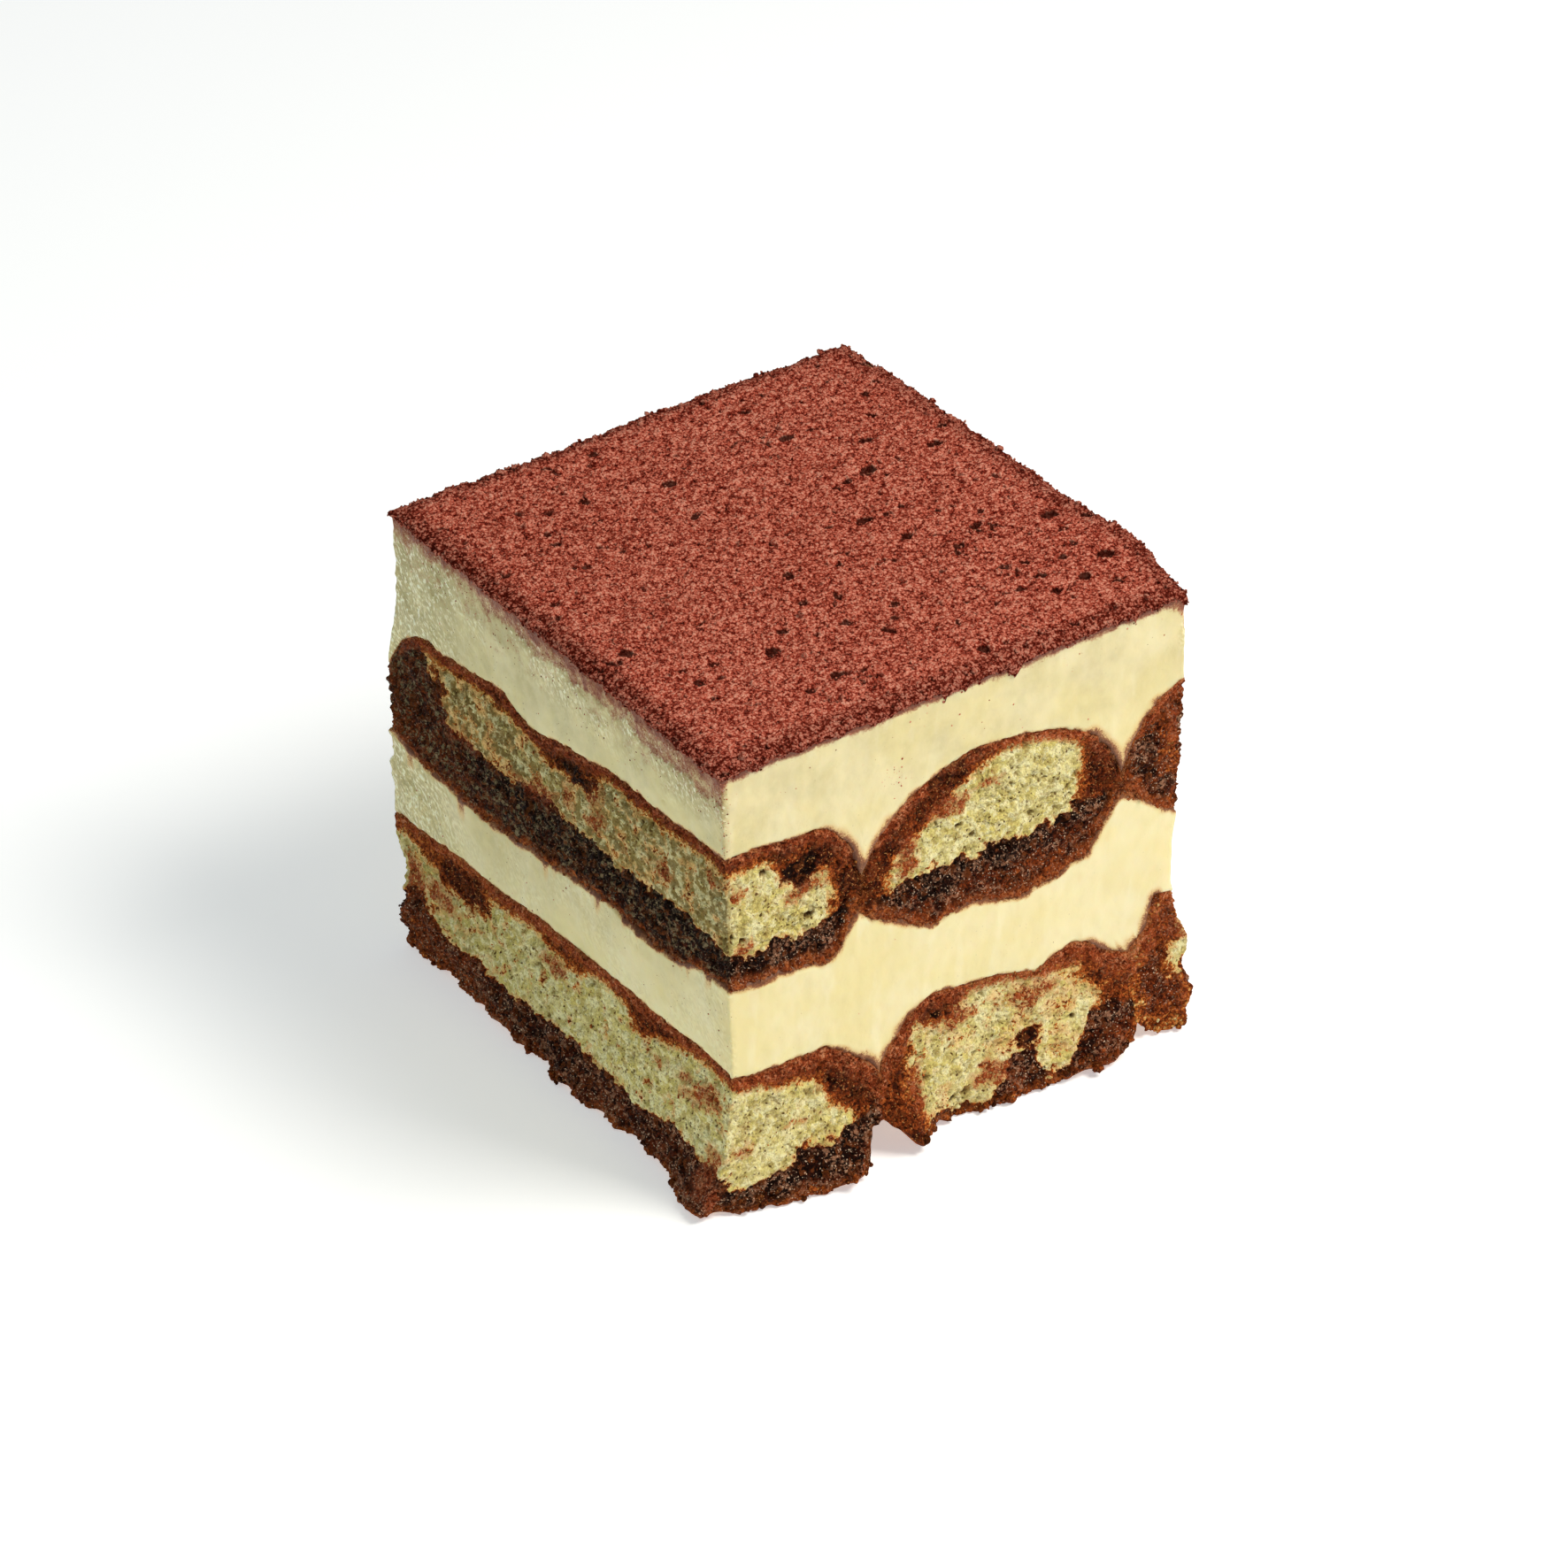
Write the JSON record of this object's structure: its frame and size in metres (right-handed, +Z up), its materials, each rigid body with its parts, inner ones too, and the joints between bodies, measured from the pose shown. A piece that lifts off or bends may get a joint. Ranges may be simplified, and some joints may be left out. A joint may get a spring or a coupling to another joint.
{
  "type": "tiramisu portion",
  "caption": "Square-cut portion of tiramisu: soaked ladyfingers between layers of mascarpone cream, dusted with cocoa, standing on its flat base.",
  "frame": {"origin": "middle of the footprint's bounding box, on the surface that the portion stands on", "axes": "+Z up; the ladyfingers run along Y; the front (-Y) and back (+Y) faces cut across them, the left (-X) and right (+X) faces cut along them"},
  "size_m": [0.0596, 0.0612, 0.0559],
  "materials": {
    "cocoa": "dry, powdery cocoa with fine grains, fully matte",
    "cream": "smooth cut mascarpone cream, soft satin sheen",
    "ladyfinger": "open sponge crumb, pale in the middle and dark, moist and slightly shiny where coffee has soaked in"
  },
  "bodies": {
    "root": {"cocoa_top": "cocoa", "cream_top": "cream", "cream_middle": "cream", "ladyfinger_upper_left": "ladyfinger", "ladyfinger_upper_middle": "ladyfinger", "ladyfinger_upper_right": "ladyfinger", "ladyfinger_lower_left": "ladyfinger", "ladyfinger_lower_middle": "ladyfinger", "ladyfinger_lower_right": "ladyfinger"}
  },
  "joints": []
}
